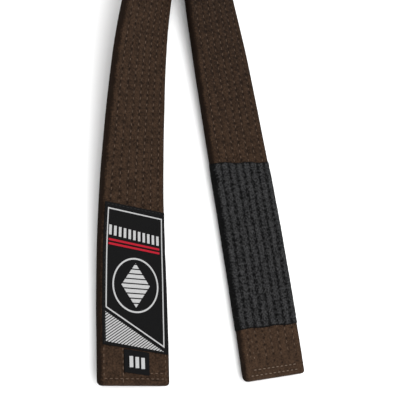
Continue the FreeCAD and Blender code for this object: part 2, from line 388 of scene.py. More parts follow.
@dataclass(frozen=True)
class QuiltedCloth:
    """Twill sewn down in rows: its yarns, its needle holes, and painted shade in each hole and
    along each row.

    The rows start plain_end millimetres from the tip. The cloth is painted paler at the tip by a set
    amount, as painted light, down to nothing at twice a set length, and painted darker by as much
    beyond. Edges are the places along the strap of a piece's cut ends, where a line of painted
    shadow is drawn. The sides carry painted shade, darkest in the groove at mid-side, fading on the roll.
    """

    name: str
    dark: tuple[float, float, float]
    light: tuple[float, float, float]
    row_spacing: float = 5.0
    last_row: float = 15.0
    stitch_pitch: float = 3.5
    plain_end: float = 0.0
    hole_size: float = 0.62
    hole_depth: float = 0.3
    # painted shade in the needle holes and along each row's valley
    painted_hole_shade: float = 0.42
    painted_row_shade: float = 0.12
    row_width: float = 0.95
    twill_pitch: float = 0.8
    contrast: float = 2.9
    fuzz: float = 0.3
    # painted shade: the strap's sides darkened, darker in the mid-side groove, less over the rolled length
    painted_side_shade: float = 0.66
    edge_start: float = 18.2
    edge_reach: float = 1.6
    edge_middle: float = 21.25
    painted_groove_shade: float = 0.5
    groove_width: float = 0.75
    rolled_start: float = 250.0
    rolled_run: float = 200.0
    rolled_fade: float = 0.6
    # painted light: paler at the tip, darker further along the strap
    painted_tip_light: float = 0.0
    painted_tip_light_length: float = 110.0
    # painted shadow: a dark line at each cut end given here
    edges: tuple[float, ...] = ()
    cut_end_shadow_width: float = 0.55
    painted_cut_end_shadow: float = 0.7
    sheen: float = 0.0

    def make(self) -> bpy.types.Material:
        """Build the material.

        Returns:
            The material.
        """
        n = Nodes(self.name)
        vector, across, along = n.strap_mm()
        row = n.math("ROUND", n.math("DIVIDE", across, self.row_spacing))
        off_row = n.math("SUBTRACT", across, n.math("MULTIPLY", row, self.row_spacing))
        shift = n.math("MULTIPLY", n.math("PINGPONG", row, 1.0), 0.5)
        place = n.math("ADD", n.math("DIVIDE", along, self.stitch_pitch), shift)
        off_hole = n.math("MULTIPLY", n.math("SUBTRACT", n.math("FRACT", place), 0.5), self.stitch_pitch)
        reach = n.math("LESS_THAN", n.math("ABSOLUTE", across), self.last_row + self.row_spacing / 2)
        reach = n.math("MULTIPLY", reach, n.math("GREATER_THAN", along, self.plain_end))
        in_row = n.math("MULTIPLY", n.gauss(off_row, self.row_width), reach)
        hole = n.math("MULTIPLY", n.gauss(off_row, self.hole_size), n.gauss(off_hole, self.hole_size * 0.9))
        hole = n.math("MULTIPLY", hole, reach)
        diagonal = n.math("ADD", across, along)
        twill = n.math("SINE", n.math("MULTIPLY", diagonal, 2 * math.pi / self.twill_pitch))
        grain = n.noise(vector, 0.95, 3.0)
        blotch = n.noise(vector, 0.2, 3.0)
        fine = n.noise(vector, 2.1, 2.0)
        # painted shade: darker along each row's valley and in each needle hole
        tone = n.total((grain, self.contrast - 1.0), (fine, 1.0), (blotch, 0.9), (twill, 0.08),
                       (in_row, -self.painted_row_shade), (hole, -self.painted_hole_shade))
        tone = n.math("SUBTRACT", tone, self.contrast / 2 - 0.05)
        # painted light: paler near the tip, darker further along
        if self.painted_tip_light:
            away = n.math("MINIMUM", n.math("DIVIDE", along, self.painted_tip_light_length), 2.0)
            tone = n.math("ADD", tone, n.math("MULTIPLY", n.math("SUBTRACT", 1.0, away), self.painted_tip_light))
        # painted shadow: a dark line at each cut end
        for place in self.edges:
            line = n.gauss(n.math("SUBTRACT", along, place), self.cut_end_shadow_width)
            tone = n.math("SUBTRACT", tone, n.math("MULTIPLY", line, self.painted_cut_end_shadow))
        # painted shade on the sides and in the mid-side groove, faded on the rolled length
        edge = n.math("SUBTRACT", n.math("ABSOLUTE", across), self.edge_start)
        edge = n.math("MINIMUM", n.math("MAXIMUM", edge, 0.0), self.edge_reach)
        edge = n.math("MULTIPLY", edge, self.painted_side_shade / self.edge_reach)
        groove = n.gauss(n.math("SUBTRACT", n.math("ABSOLUTE", across), self.edge_middle), self.groove_width)
        edge = n.math("ADD", edge, n.math("MULTIPLY", groove, self.painted_groove_shade))
        rolled = n.math("DIVIDE", n.math("SUBTRACT", along, self.rolled_start), self.rolled_run)
        rolled = n.math("MINIMUM", n.math("MAXIMUM", rolled, 0.0), 1.0)
        faded = n.math("SUBTRACT", 1.0, n.math("MULTIPLY", rolled, self.rolled_fade))
        edge = n.math("MULTIPLY", edge, faded)
        tone = n.math("SUBTRACT", tone, edge)
        ramp = n.tree.nodes.new("ShaderNodeMapRange")
        n.put(ramp.inputs["Value"], tone)
        colour = n.mix(ramp.outputs[0], (*self.dark, 1.0), (*self.light, 1.0))
        height = n.total((twill, 0.022), (grain, self.fuzz), (hole, -self.hole_depth), (blotch, 0.12))
        roughness = n.total((grain, 0.12), (1.0, 0.82))
        return n.finish(colour, height, roughness, self.sheen)


@dataclass(frozen=True)
class Yarn:
    """Spun thread: fine twist and a little unevenness."""

    name: str
    colour: tuple[float, float, float]
    scale: float = 2600.0
    sheen: float = 0.02

    def make(self) -> bpy.types.Material:
        """Build the material.

        Returns:
            The material.
        """
        n = Nodes(self.name)
        source = n.tree.nodes.new("ShaderNodeTexCoord").outputs["Object"]
        grain = n.noise(source, self.scale, 3.0)
        patch = n.noise(source, 160.0, 2.0)
        share = n.total((grain, 0.6), (patch, 0.6), (1.0, -0.1))
        dark = tuple(0.55 * c for c in self.colour)
        colour = n.mix(share, (*dark, 1.0), (*self.colour, 1.0))
        return n.finish(colour, n.total((grain, 0.08)), n.total((grain, 0.2), (1.0, 0.6)), self.sheen)


@dataclass(frozen=True)
class Satin:
    """Woven label yarn laid in fine ribs across the strap."""

    name: str
    ground: tuple[float, float, float]
    high: tuple[float, float, float]
    rib: float = 0.42
    sheen: float = 0.0

    def make(self) -> bpy.types.Material:
        """Build the material.

        Returns:
            The material.
        """
        n = Nodes(self.name)
        vector, across, along = n.strap_mm()
        ribs = n.math("SINE", n.math("MULTIPLY", along, 2 * math.pi / self.rib))
        slant = n.math("ADD", across, n.math("MULTIPLY", along, 0.5))
        floats = n.math("SINE", n.math("MULTIPLY", slant, 9.0))
        grain = n.noise(vector, 2.2, 3.0)
        share = n.total((ribs, 0.16), (floats, 0.06), (grain, 0.9), (1.0, 0.05))
        colour = n.mix(share, (*self.ground, 1.0), (*self.high, 1.0))
        height = n.total((ribs, 0.03), (floats, 0.012), (grain, 0.05))
        return n.finish(colour, height, n.total((grain, 0.15), (1.0, 0.5)), self.sheen)


@dataclass(frozen=True)
class PaleFloor:
    """A plain pale studio floor."""

    name: str = "floor_paint"
    colour: tuple[float, float, float] = (0.93, 0.93, 0.93)

    def make(self) -> bpy.types.Material:
        """Build the material.

        Returns:
            The material.
        """
        n = Nodes(self.name)
        source = n.tree.nodes.new("ShaderNodeTexCoord").outputs["Object"]
        grain = n.noise(source, 30.0, 2.0)
        low = tuple(c * 0.985 for c in self.colour)
        colour = n.mix(grain, (*low, 1.0), (*self.colour, 1.0))
        return n.finish(colour, 0.0, 0.9, 0.0)


class Finishes:
    """Every finish of the belt, made once."""

    def __init__(self) -> None:
        """Make the materials."""
        brown = (0.0078, 0.0042, 0.0025), (0.046, 0.0262, 0.0156)
        self.label_end_cloth = QuiltedCloth("brown_twill_label_end", *brown, plain_end=18.0).make()
        # the bar end is painted paler near its tip and darker further along, as painted light
        self.bar_end_cloth = QuiltedCloth("brown_twill_bar_end", *brown, plain_end=7.0, painted_tip_light=0.2).make()
        # the charcoal cloth is painted darker along its rows and in its holes as painted shade, with lines
        # of painted shadow at the sleeve's cut ends
        self.black_cloth = QuiltedCloth(
            "charcoal_twill", (0.002, 0.0021, 0.0022), (0.04, 0.04, 0.041), stitch_pitch=3.2, hole_size=0.8,
            painted_hole_shade=0.35, painted_row_shade=0.42, contrast=3.5, fuzz=1.0, twill_pitch=0.9, edges=(26.5, 116.0),
        ).make()
        self.brown_thread = Yarn("brown_spun_thread", (0.112, 0.075, 0.053)).make()
        self.pale_thread = Yarn("pale_brown_spun_thread", (0.17, 0.122, 0.09)).make()
        self.black_thread = Yarn("black_spun_thread", (0.03, 0.03, 0.031)).make()
        self.label_ground = Satin(
            "black_label_satin", (0.0006, 0.0006, 0.0007), (0.0042, 0.0042, 0.0045)
        ).make()
        self.white_yarn = Satin("white_label_yarn", (0.25, 0.25, 0.25), (0.5, 0.5, 0.5), rib=0.36).make()
        self.red_yarn = Satin("red_label_yarn", (0.22, 0.004, 0.01), (0.42, 0.012, 0.027), rib=0.36).make()
        self.floor = PaleFloor().make()


# ------------------------------------------------------------------ soft bands
@dataclass(frozen=True)
class Quilting:
    """How cloth swells between rows of stitches: half-thicknesses in metres."""

    crest: float
    valley: float
    spacing: float = 5 * mm
    last_row: float = 15 * mm
    fullness: float = 0.75
    pucker: float = 0.1 * mm
    pucker_length: float = 8 * mm
    lump: float = 0.0
    lump_length: float = 3.2 * mm

    def height(self, across: np.ndarray, along: np.ndarray) -> np.ndarray:
        """Half-thickness of the padded strap.

        Args:
            across: Places across it.
            along: Places along it.

        Returns:
            The half-thickness at each place.
        """
        phase = np.minimum(np.abs(across) - self.last_row, self.spacing / 2) / self.spacing
        puff = np.abs(np.sin(np.pi * phase)) ** self.fullness
        size = self.pucker_length
        rough = np.array([noise.noise(Vector((a / size * 1.6, s / size, self.crest * 1e4)))
                          for a, s in zip(across.ravel(), along.ravel())]).reshape(across.shape)
        rib = np.floor((across + self.last_row) / self.spacing)
        beat = np.cos(2 * np.pi * (along / self.lump_length + 0.37 * rib))
        puff = puff * (1 + self.lump * beat * np.where(np.abs(across) < self.last_row, 1.0, 0.3))
        calm = np.clip((self.last_row + self.spacing - np.abs(across)) / self.spacing, 0.0, 1.0)
        return self.valley + (self.crest - self.valley) * puff + self.pucker * rough * (0.4 + puff) * calm


@dataclass(frozen=True)
class Section:
    """The outline of a flat soft band: two faces joined by round edges, metres."""

    half_width: float
    edge: float
    face_columns: int = 44
    edge_columns: int = 8
    groove: float = 0.0

    def columns(self) -> tuple[np.ndarray, np.ndarray, np.ndarray]:
        """Go round the outline once, from the middle of the under side.

        Returns:
            Place across, share of the thickness from -1 to 1, and distance from the middle
            measured over the surface.
        """
        flat = self.half_width - self.edge
        faces = self.face_columns // 2
        across, share, reach = [], [], []
        for side, face in ((-1, Face.UPPER), (1, Face.UNDER)):
            outward = np.linspace(0, flat, faces + 1)[:-1]
            arc = np.linspace(-math.pi / 2, math.pi / 2, self.edge_columns + 1)[:-1]
            round_edge = flat + self.edge * np.cos(arc) - self.groove * (np.abs(arc) < 0.01)
            inward = np.linspace(flat, 0, faces + 1)[:-1]
            across += list(side * outward) + list(side * round_edge) + list(side * inward)
            share += [-face.value] * faces + list(face.value * np.sin(arc)) + [face.value] * faces
            bend = flat + self.edge * (math.pi / 2 - np.abs(arc))
            reach += list(side * outward) + list(side * bend) + list(side * inward)
        return np.array(across), np.array(share), np.array(reach)


Shape = Callable[[np.ndarray, np.ndarray, np.ndarray], np.ndarray]


def soft_band(section: Section, stations: np.ndarray, shape: Shape) -> bmesh.types.BMesh:
    """Make a closed soft band, flat, with strap coordinates on it.

    Args:
        section: Its outline.
        stations: Distances from the tip where it has a ring of vertices.
        shape: Gives the flat points from place across, share of thickness and distance.

    Returns:
        The band, in flat coordinates.
    """
    across, share, reach = section.columns()
    count, rings = len(across), len(stations)
    bm = bmesh.new()
    bmesh.ops.create_grid(bm, x_segments=count, y_segments=rings - 1, size=1.0)
    column = [round((v.co.x + 1) / 2 * count) % count for v in bm.verts]
    ring = [round((v.co.y + 1) / 2 * (rings - 1)) for v in bm.verts]
    spots = shape(across[column], share[column], stations[ring])
    layer = bm.loops.layers.uv.new("strap")
    for face in bm.faces:
        for loop in face.loops:
            i = loop.vert.index
            loop[layer].uv = (reach[column[i]] / mm, stations[ring[i]] / mm)
    for vert, spot in zip(bm.verts, spots):
        vert.co = spot
    bmesh.ops.remove_doubles(bm, verts=bm.verts[:], dist=1e-6)
    open_edges = [e for e in bm.edges if e.is_boundary]
    if open_edges:
        bmesh.ops.holes_fill(bm, edges=open_edges, sides=0)
    return bm


def rounded_end(distance: np.ndarray, radius: float) -> np.ndarray:
    """Share of full thickness near a rounded end.

    Args:
        distance: Distance from the end.
        radius: Where the band reaches full thickness.

    Returns:
        The share, from 0 to 1.
    """
    inside = np.clip(1 - distance / radius, 0, 1)
    return np.sqrt(1 - inside**2)


def to_object(
    name: str, bm: bmesh.types.BMesh, material: bpy.types.Material, smooth: bool = True
) -> bpy.types.Object:
    """Turn finished mesh work into an object of the scene.

    Args:
        name: The piece's name.
        bm: The mesh work; it is freed.
        material: Its finish.
        smooth: Whether its faces are shaded smooth.

    Returns:
        The object.
    """
    mesh = bpy.data.meshes.new(name)
    for face in bm.faces:
        face.smooth = smooth
    bm.to_mesh(mesh)
    bm.free()
    mesh.materials.append(material)
    piece = bpy.data.objects.new(name, mesh)
    bpy.context.scene.collection.objects.link(piece)
    log.info("%s: %d faces", name, len(mesh.polygons))
    return piece


def steps(*runs: tuple[float, float, float]) -> np.ndarray:
    """Join runs of evenly spaced places.

    Args:
        runs: Start, end and spacing of each.

    Returns:
        All the places, in order, without repeats.
    """
    places: list[float] = []
    for start, end, spacing in runs:
        count = max(1, round((end - start) / spacing))
        places += list(np.linspace(start, end, count + 1)[:-1])
    return np.array(places + [runs[-1][1]])


# ------------------------------------------------------------------ stitches
@dataclass(frozen=True)
class Stitch:
    """One visible length of sewing thread, metres."""

    length: float = 1.9 * mm
    radius: float = 0.25 * mm
    pitch: float = 3.5 * mm

    def row(self, count: int, across: bool = False) -> bpy.types.Mesh:
        """Make a straight row of stitches, flat, starting at the origin.

        Args:
            count: How many.
            across: Whether the row runs across the strap.

        Returns:
            The row's mesh.
        """
        bm = bmesh.new()
        long, way = (0, (self.pitch, 0, 0)) if across else (1, (0, self.pitch, 0))
        size = [self.radius, self.radius, self.radius * 0.8]
        size[long] = self.length / 2
        shape = Matrix.Diagonal((*size, 1.0))
        bmesh.ops.create_uvsphere(bm, u_segments=6, v_segments=4, radius=1.0, matrix=shape)
        bmesh.ops.spin(bm, geom=bm.faces[:], cent=(0, 0, 0), axis=(0, 0, 1), dvec=way, angle=0.0,
                       steps=max(1, count - 1), use_duplicate=True)
        mesh = bpy.data.meshes.new("row")
        bm.to_mesh(mesh)
        bm.free()
        return mesh


class Sewing:
    """Rows of stitches gathered, flat, for one piece."""

    def __init__(self) -> None:
        """Start with no thread."""
        self.bm = bmesh.new()

    def sew(self, row: bpy.types.Mesh, matrix: Matrix) -> None:
        """Add one row.

        Args:
            row: The row's mesh.
            matrix: Where it goes on the flat strap.
        """
        copy = row.copy()
        copy.transform(matrix)
        self.bm.from_mesh(copy)
        bpy.data.meshes.remove(copy)

    def on(self, half: StrapHalf, name: str, material: bpy.types.Material) -> bpy.types.Object:
        """Wrap the rows round a strap.

        Args:
            half: The half of the strap.
            name: The piece's name.
            material: The thread.

        Returns:
            The piece.
        """
        half.wrap(self.bm)
        return to_object(name, self.bm, material)


@dataclass
class RowThreads:
    """The long rows of stitches on both faces of a stretch of strap."""

    half: StrapHalf
    depth: float = 2.14 * mm
    rows: int = 7
    spacing: float = 5 * mm

    def build(
        self, name: str, start: float, end: float, stitch: Stitch, thread: bpy.types.Material
    ) -> bpy.types.Object:
        """Sew the rows.

        Args:
            name: The piece's name.
            start: First stitch, from the tip.
            end: Last stitch.
            stitch: Its stitches.
            thread: Their finish.

        Returns:
            The piece.
        """
        sewing = Sewing()
        first = math.ceil(start / stitch.pitch)
        count = int((end - start) / stitch.pitch) - 1
        row_mesh = stitch.row(count)
        for i in range(self.rows):
            across = (i - (self.rows - 1) / 2) * self.spacing
            stagger = 0.5 if (i - (self.rows - 1) // 2) % 2 else 0.0
            along = (first + 1.0 - stagger) * stitch.pitch
            for face in Face:
                spot = Vector((across, along, face.value * self.depth))
                sewing.sew(row_mesh, Matrix.Translation(spot))
        return sewing.on(self.half, name, thread)


# ------------------------------------------------------------------ the strap
@dataclass(frozen=True)
class Tip:
    """How a tip is folded and sewn, metres."""

    left_corner: float
    right_corner: float
    cross_rows: tuple[float, ...]
    crease_across: float = 1.0
    crease_end: float = 0.0
    plain_end: float = 8 * mm

    def press(self, across: np.ndarray, along: np.ndarray) -> np.ndarray:
        """Find how far the cloth is pulled in by the tip's own seams and crease.

        Args:
            across: Places across the strap.
            along: Distances from the tip.

        Returns:
            The depth at each place.
        """
        depth = np.zeros_like(across)
        for row in self.cross_rows:
            depth += 0.5 * mm * np.exp(-((along - row) / (0.75 * mm)) ** 2) * (np.abs(across) < 16 * mm)
        crease = np.exp(-((across - self.crease_across) / (0.6 * mm)) ** 2)
        return depth + 0.3 * mm * crease * (along < self.crease_end)

    def narrow(self, across: np.ndarray, along: np.ndarray) -> np.ndarray:
        """Bring points in where the tip's corners are round.

        Args:
            across: Places across the strap.
            along: Distances from the tip.

        Returns:
            The new places across.
        """
        radius = np.where(across < 0, self.left_corner, self.right_corner)
        short = np.clip(1 - along / radius, 0, 1)
        return across * (1 - radius * (1 - np.sqrt(1 - short**2)) / (20 * mm))


@dataclass
class StrapCover:
    """The brown cloth of one half of the strap, quilted over its padding."""

    half: StrapHalf
    cloth: bpy.types.Material
    tip: Tip
    replaced: tuple[str, ...]
    quilting: Quilting = Quilting(crest=2.44 * mm, valley=2.12 * mm, pucker=0.2 * mm, pucker_length=5 * mm)
    edge: float = 2.2 * mm
    tip_round: float = 1.9 * mm
    seen_length: float = 215 * mm
    fullest: float = 2.48 * mm
    plain: float = 2.3 * mm
    groove: float = 0.35 * mm

    def shape(self, across: np.ndarray, share: np.ndarray, along: np.ndarray) -> np.ndarray:
        """Shape the cover, flat.

        Args:
            across: Places across.
            share: Shares of the thickness, from -1 to 1.
            along: Distances from the tip.

        Returns:
            The flat points, one row each.
        """
        quilted = self.quilting.height(across, along)
        calm = np.clip(1.5 - along / self.tip.plain_end, 0.0, 0.8)
        thick = np.minimum(quilted + (self.plain - quilted) * calm, self.fullest)
        thick = thick - self.tip.press(across, along)
        thick = thick * rounded_end(along, self.tip_round)
        return np.stack([self.tip.narrow(across, along), along, share * thick], 1)

    def build(self) -> bpy.types.Object:
        """Make the cover, hide the solids that it stands for and bake its placement into its mesh.

        Returns:
            The cover.
        """
        half = self.half
        runs = [
            (0.0, 2 * mm, 0.25 * mm), (2 * mm, 22 * mm, 0.6 * mm),
            (22 * mm, self.seen_length, 1.25 * mm), (self.seen_length, half.exit_s, 2.6 * mm),
        ]
        for start, _, radius, _ in half.arcs:
            runs.append((start, start + math.pi * radius, min(3.4 * mm, math.pi * radius / 12)))
        section = Section(half.sizes.half_width, self.edge, groove=self.groove)
        bm = soft_band(section, steps(*runs), self.shape)
        half.wrap(bm)
        piece = to_object("cover_cloth_" + half.body, bm, self.cloth)
        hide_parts(*self.replaced)
        bend(piece, half)
        return piece


def bend(piece: bpy.types.Object, half: StrapHalf) -> None:
    """Bake into its mesh the placement of a piece that crosses the joint; it does not bend there.

    Args:
        piece: The piece.
        half: The half of the strap that it is on; not used.
    """
    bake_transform(piece)


@dataclass
class StrapThreads:
    """The seven rows of stitches on both faces of one half of the strap."""

    half: StrapHalf
    finishes: Finishes
    first: float

    def build(self) -> None:
        """Sew the free end and the rolled length as two pieces."""
        threads = RowThreads(self.half)
        body = self.half.body
        stitch = Stitch()
        thread = self.finishes.brown_thread
        free = threads.build("row_stitches_" + body, self.first, self.half.exit_s, stitch, thread)
        bend(free, self.half)
        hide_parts("needle_rows_" + body, "bobbin_rows_" + body)
        rolled = threads.build(
            "row_stitches_roll_of_" + body, self.half.exit_s, self.half.length, stitch, thread
        )
        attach(rolled, "roll")
        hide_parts("needle_rows_roll", "bobbin_rows_roll")


@dataclass
class TipSeams:
    """The stitches that close a tip."""

    half: StrapHalf
    thread: bpy.types.Material
    cross_rows: tuple[tuple[float, float, float], ...]
    columns: tuple[tuple[float, float, float], ...]
    depth: float = 2.2 * mm
    stitch: Stitch = Stitch(length=2.0 * mm, radius=0.27 * mm, pitch=2.9 * mm)

    def build(self) -> None:
        """Sew each row across and each column along, on both faces."""
        sewing = Sewing()
        for face in Face:
            out = face.value * self.depth
            for along, left, right in self.cross_rows:
                row = self.stitch.row(int((right - left) / self.stitch.pitch) + 1, across=True)
                sewing.sew(row, Matrix.Translation((left, along, out)))
            for across, start, end in self.columns:
                row = self.stitch.row(int((end - start) / self.stitch.pitch) + 1)
                sewing.sew(row, Matrix.Translation((across, start + self.stitch.pitch / 2, out)))
        piece = sewing.on(self.half, "tip_stitches_" + self.half.body, self.thread)
        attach(piece, self.half.body)
        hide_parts("tip_seam_" + self.half.body)


# ------------------------------------------------------------------ the woven label and tab
@dataclass
class Patch:
    """A thin woven patch sewn on the strap, metres."""

    half: StrapHalf
    name: str
    node: str
    slot: str
    material: bpy.types.Material
    start: float
    length: float
    half_width: float
    middle: float = 0.0
    skew: float = 0.0
    parallel: bool = False
    base: float = 2.3 * mm
    thickness: float = 0.62 * mm

    def shape(self, across: np.ndarray, share: np.ndarray, along: np.ndarray) -> np.ndarray:
        """Shape the patch, flat.

        Args:
            across: Places across.
            share: Shares of the thickness, from -1 to 1.
            along: Distances from the tip.

        Returns:
            The flat points, one row each.
        """
        from_end = np.minimum(along - self.start, self.start + self.length - along)
        thick = self.thickness / 2 * rounded_end(from_end, 0.3 * mm)
        fade = 1.0 if self.parallel else np.clip(1 - (along - self.start) / self.length, 0, 1)
        lean = -self.skew * across / self.half_width * fade
        wave = 0.06 * mm * np.sin(across / mm * 1.26) * np.sin(along / mm * 0.5)
        out = self.base + self.thickness / 2 + share * thick + wave
        return np.stack([self.middle + across, along + lean, out], 1)

    def build(self) -> bpy.types.Object:
        """Make the patch.

        Returns:
            The patch.
        """
        end = self.start + self.length
        rim = 0.5 * mm
        stations = steps(
            (self.start, self.start + rim, 0.1 * mm), (self.start + rim, end - rim, 1.2 * mm),
            (end - rim, end, 0.1 * mm),
        )
        section = Section(self.half_width, 0.3 * mm, face_columns=40, edge_columns=4)
        bm = soft_band(section, stations, self.shape)
        self.half.wrap(bm)
        piece = to_object(self.name, bm, self.material)
        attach(piece, self.half.body)
        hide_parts(self.node)
        return piece


Corner = tuple[float, float]


@dataclass
class Motif:
    """Flat shapes of raised yarn on a patch, gathered into one piece; corners are in mm."""

    half: StrapHalf
    level: float
    rise: float = 0.16 * mm
    cell: float = 2.5

    def __post_init__(self) -> None:
        """Start with nothing woven."""
        self.bm = bmesh.new()

    def polygon(self, corners: Sequence[Corner]) -> None:
        """Add a filled shape.

        Args:
            corners: Its corners, in order.
        """
        self.bm.faces.new([self.bm.verts.new((x, y, 0.0)) for x, y in corners]).normal_update()

    def stroke(self, a: Corner, b: Corner, width: float) -> None:
        """Add a straight bar.

        Args:
            a: Middle of one end.
            b: Middle of the other.
            width: Its width.
        """
        way = Vector((b[0] - a[0], b[1] - a[1])).normalized() * width / 2
        side = (-way.y, way.x)
        self.polygon([(a[0] - side[0], a[1] - side[1]), (b[0] - side[0], b[1] - side[1]),
                      (b[0] + side[0], b[1] + side[1]), (a[0] + side[0], a[1] + side[1])])

    def outline(self, corners: Sequence[Corner], width: float) -> None:
        """Add a closed line along these corners, with mitred turns.

        Args:
            corners: Outer corners, in order.
            width: Width of the line.
        """
        before = set(self.bm.faces)
        self.polygon(corners)
        self.hollow(before, width)

    def hollow(self, before: set[bmesh.types.BMFace], width: float) -> None:
        """Keep only a line along the outside of the newest shape.

        Args:
            before: The faces that were there before it.
            width: Width of the line.
        """
        face = next(f for f in self.bm.faces if f not in before)
        bmesh.ops.inset_region(
            self.bm, faces=[face], thickness=width, use_boundary=True, use_even_offset=True
        )
        bmesh.ops.delete(self.bm, geom=[face], context="FACES")

    def ring(self, middle: Corner, radius: float, width: float) -> None:
        """Add a round line.

        Args:
            middle: Its middle.
            radius: Its outer radius.
            width: Width of the line.
        """
        before = set(self.bm.faces)
        spot = Matrix.Translation((middle[0], middle[1], 0.0))
        bmesh.ops.create_circle(self.bm, cap_ends=True, segments=72, radius=radius, matrix=spot)
        self.hollow(before, width)

    def hatch(self, corners: Sequence[Corner], slope: float, pitch: float, width: float) -> None:
        """Fill a shape with parallel slanting lines.

        Args:
            corners: The shape.
            slope: Rise of a line for each unit across.
            pitch: Distance from line to line, measured along the strap.
            width: Width of a line, measured likewise.
        """
        part = bmesh.new()
        part.faces.new([part.verts.new((x, y, 0.0)) for x, y in corners])
        normal = Vector((-slope, 1.0, 0.0))
        levels = [y - slope * x for x, y in corners]
        count = int((max(levels) - min(levels)) / pitch) + 1
        for i in range(count):
            for level in (min(levels) + i * pitch, min(levels) + i * pitch + width):
                bmesh.ops.bisect_plane(part, geom=part.verts[:] + part.edges[:] + part.faces[:],
                                       plane_co=(0, level, 0), plane_no=normal)
        gaps = []
        for face in part.faces:
            spot = face.calc_center_median()
            if (spot.y - slope * spot.x - min(levels)) % pitch > width:
                gaps.append(face)
        bmesh.ops.delete(part, geom=gaps, context="FACES")
        mesh = bpy.data.meshes.new("hatch")
        part.to_mesh(mesh)
        part.free()
        self.bm.from_mesh(mesh)
        bpy.data.meshes.remove(mesh)

    def weave(self, name: str, material: bpy.types.Material) -> bpy.types.Object:
        """Cut the shapes fine, raise them off the patch and lay them on the strap.

        Args:
            name: The piece's name.
            material: The yarn.

        Returns:
            The piece.
        """
        bm = self.bm
        bmesh.ops.recalc_face_normals(bm, faces=bm.faces[:])
        for axis in (0, 1):
            places = [v.co[axis] for v in bm.verts]
            normal = Vector((1, 0, 0)) if axis == 0 else Vector((0, 1, 0))
            for i in range(math.ceil(min(places) / self.cell), math.floor(max(places) / self.cell) + 1):
                bmesh.ops.bisect_plane(bm, geom=bm.verts[:] + bm.edges[:] + bm.faces[:],
                                       plane_co=normal * i * self.cell, plane_no=normal)
        bmesh.ops.remove_doubles(bm, verts=bm.verts[:], dist=0.01)
        bmesh.ops.delete(bm, geom=[v for v in bm.verts if not v.link_faces], context="VERTS")
        flat = bm.faces[:]
        raised = bmesh.ops.extrude_face_region(bm, geom=flat, use_keep_orig=True)["geom"]
        top = [v for v in raised if isinstance(v, bmesh.types.BMVert)]
        bmesh.ops.translate(bm, verts=top, vec=(0, 0, self.rise / mm))
        bmesh.ops.recalc_face_normals(bm, faces=bm.faces[:])
        layer = bm.loops.layers.uv.new("strap")
        for face in bm.faces:
            for loop in face.loops:
                loop[layer].uv = loop.vert.co.xy
        lay = Matrix.Translation((0, 0, self.level)) @ Matrix.Scale(mm, 4)
        bmesh.ops.transform(bm, verts=bm.verts[:], matrix=lay)
        self.half.wrap(bm)
        piece = to_object(name, bm, material, smooth=False)
        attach(piece, self.half.body)
        return piece


@dataclass
class WovenLabel:
    """The black label with its plain pattern, the seam round it, and the size tab."""

    half: StrapHalf
    finishes: Finishes
    start: float = 16.7 * mm
    length: float = 69.3 * mm
    half_width: float = 18.6 * mm
    skew: float = 2.1 * mm
    tab_start: float = 5.4 * mm
    tab_length: float = 10.8 * mm
    tab_half: float = 7.15 * mm
    level: float = 2.9 * mm

    def ground(self) -> None:
        """Make the label's cloth and the tab's."""
        cloth = self.finishes.label_ground
        Patch(self.half, "label_cloth", "woven_label", "label_weave", cloth, self.start, self.length,
              self.half_width, skew=self.skew).build()
        Patch(self.half, "size_tab_cloth", "size_tab", "tab_weave", cloth, self.tab_start, self.tab_length,
              self.tab_half, middle=0.1 * mm, skew=0.8 * mm, parallel=True, thickness=0.5 * mm).build()

    def white_pattern(self) -> None:
        """Weave the frame, the upright bars, the ring, the diamond and the hatched corner."""
        yarn = Motif(self.half, self.level)
        yarn.outline([(-17.0, 36.0), (15.9, 17.9), (16.7, 82.4), (-17.0, 83.3)], 0.6)
        bars = 11
        for i in range(bars):
            across = -15.0 + 28.6 * i / (bars - 1)
            low = 70.5 - 2.4 * i / (bars - 1)
            yarn.stroke((across, low), (across, low + 4.7), 1.5)
        yarn.ring((0.0, 47.3), 13.3, 0.8)
        yarn.hatch([(-8.2, 47.3), (0.0, 36.6), (8.2, 47.3), (0.0, 58.0)], 0.0, 2.35, 1.75)
        yarn.hatch([(-17.1, 34.1), (-17.0, 20.2), (15.6, 16.0)], 0.62, 1.35, 0.8)
        yarn.weave("label_white_pattern", self.finishes.white_yarn)

    def red_pattern(self) -> None:
        """Weave the two red lines."""
        yarn = Motif(self.half, self.level)
        yarn.stroke((-15.8, 68.3), (14.6, 66.2), 1.0)
        yarn.stroke((-15.8, 66.4), (14.6, 64.2), 1.0)
        yarn.weave("label_red_pattern", self.finishes.red_yarn)

    def tab_mark(self) -> None:
        """Weave three plain upright blocks on the tab."""
        yarn = Motif(self.half, self.level - 0.1 * mm)
        for across in (-3.2, 0.1, 3.4):
            low = 8.1 - 0.11 * across
            yarn.stroke((across, low), (across, low + 5.2), 2.0)
        yarn.weave("size_tab_mark", self.finishes.white_yarn)

    def seam(self) -> None:
        """Sew the label down with fine black stitches."""
        stitch = Stitch(length=1.7 * mm, radius=0.13 * mm, pitch=2.3 * mm)
        sewing = Sewing()
        border = self.half_width - 0.9 * mm
        end = self.start + self.length
        column = stitch.row(int((self.length - 5 * mm) / stitch.pitch))
        for side in (-1, 1):
            sewing.sew(column, Matrix.Translation((side * border, self.start + 3.5 * mm, self.level)))
        row = stitch.row(int((2 * border - 2 * mm) / stitch.pitch) + 1, across=True)
        sewing.sew(row, Matrix.Translation((-border + mm, end - mm, self.level)))
        piece = sewing.on(self.half, "label_stitches", self.finishes.black_thread)
        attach(piece, self.half.body)
        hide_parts("label_seam")

    def build(self) -> None:
        """Make every part of the label."""
        self.ground()
        self.white_pattern()
        self.red_pattern()
        self.tab_mark()
        self.seam()


